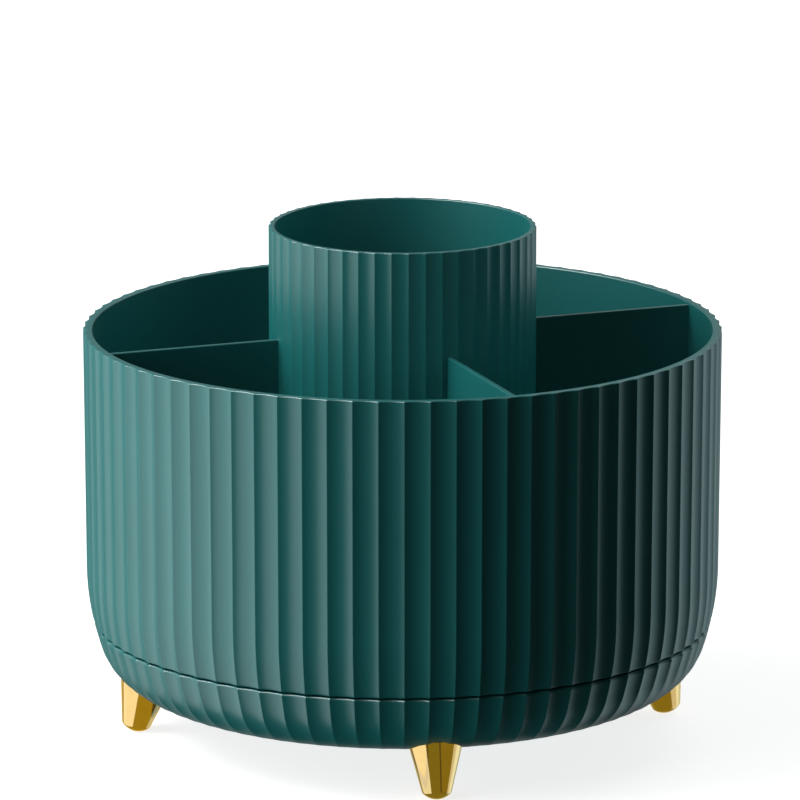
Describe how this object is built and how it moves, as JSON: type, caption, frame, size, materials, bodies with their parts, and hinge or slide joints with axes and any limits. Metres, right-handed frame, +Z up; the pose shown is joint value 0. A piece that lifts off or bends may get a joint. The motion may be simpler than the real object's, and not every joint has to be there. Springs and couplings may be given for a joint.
{
  "type": "rotating makeup organizer",
  "caption": "Round fluted makeup organizer: an open tub with dividers and a taller centre cup turns on a ball ring in a bowl on splayed plated feet.",
  "frame": {"origin": "on the table under the spin axis, level with the flats under the feet", "axes": "+Z up along the spin axis, -Y towards the front foot, +X towards the right foot"},
  "size_m": [0.2198, 0.2198, 0.177],
  "materials": {
    "shell_green": "injection-moulded ABS, satin gloss, deep teal green",
    "foot_gold": "polished gold plating",
    "bearing_steel": "ground and polished steel",
    "screw_zinc": "bright zinc-plated steel",
    "cage_nylon": "natural moulded nylon",
    "bush_acetal": "natural white acetal"
  },
  "bodies": {
    "base": {"base": "shell_green", "foot_right": "foot_gold", "foot_back": "foot_gold", "foot_left": "foot_gold", "foot_front": "foot_gold", "foot_screws": "screw_zinc", "race_lower": "bearing_steel", "race_lower_screws": "screw_zinc", "pivot_sleeve": "bearing_steel", "pivot_washer": "screw_zinc", "pivot_screw": "screw_zinc"},
    "cage": {"ball_cage": "cage_nylon", "bearing_balls": "bearing_steel"},
    "drum": {"drum": "shell_green", "centre_cup": "shell_green", "divider_right": "shell_green", "divider_back": "shell_green", "divider_left": "shell_green", "divider_front": "shell_green", "race_upper": "bearing_steel", "race_upper_screws": "screw_zinc", "pivot_bush": "bush_acetal"}
  },
  "joints": [
    {"name": "drum_spin", "type": "hinge", "parent": "base", "child": "drum", "pos_m": [0, 0, 0.0405], "axis": [0, 0, 1], "continuous": true},
    {"name": "cage_spin", "type": "hinge", "parent": "base", "child": "cage", "pos_m": [0, 0, 0.0298], "axis": [0, 0, 1], "continuous": true}
  ],
  "couplings": [
    {"joint": "cage_spin", "follows": "drum_spin", "ratio": 0.5}
  ]
}
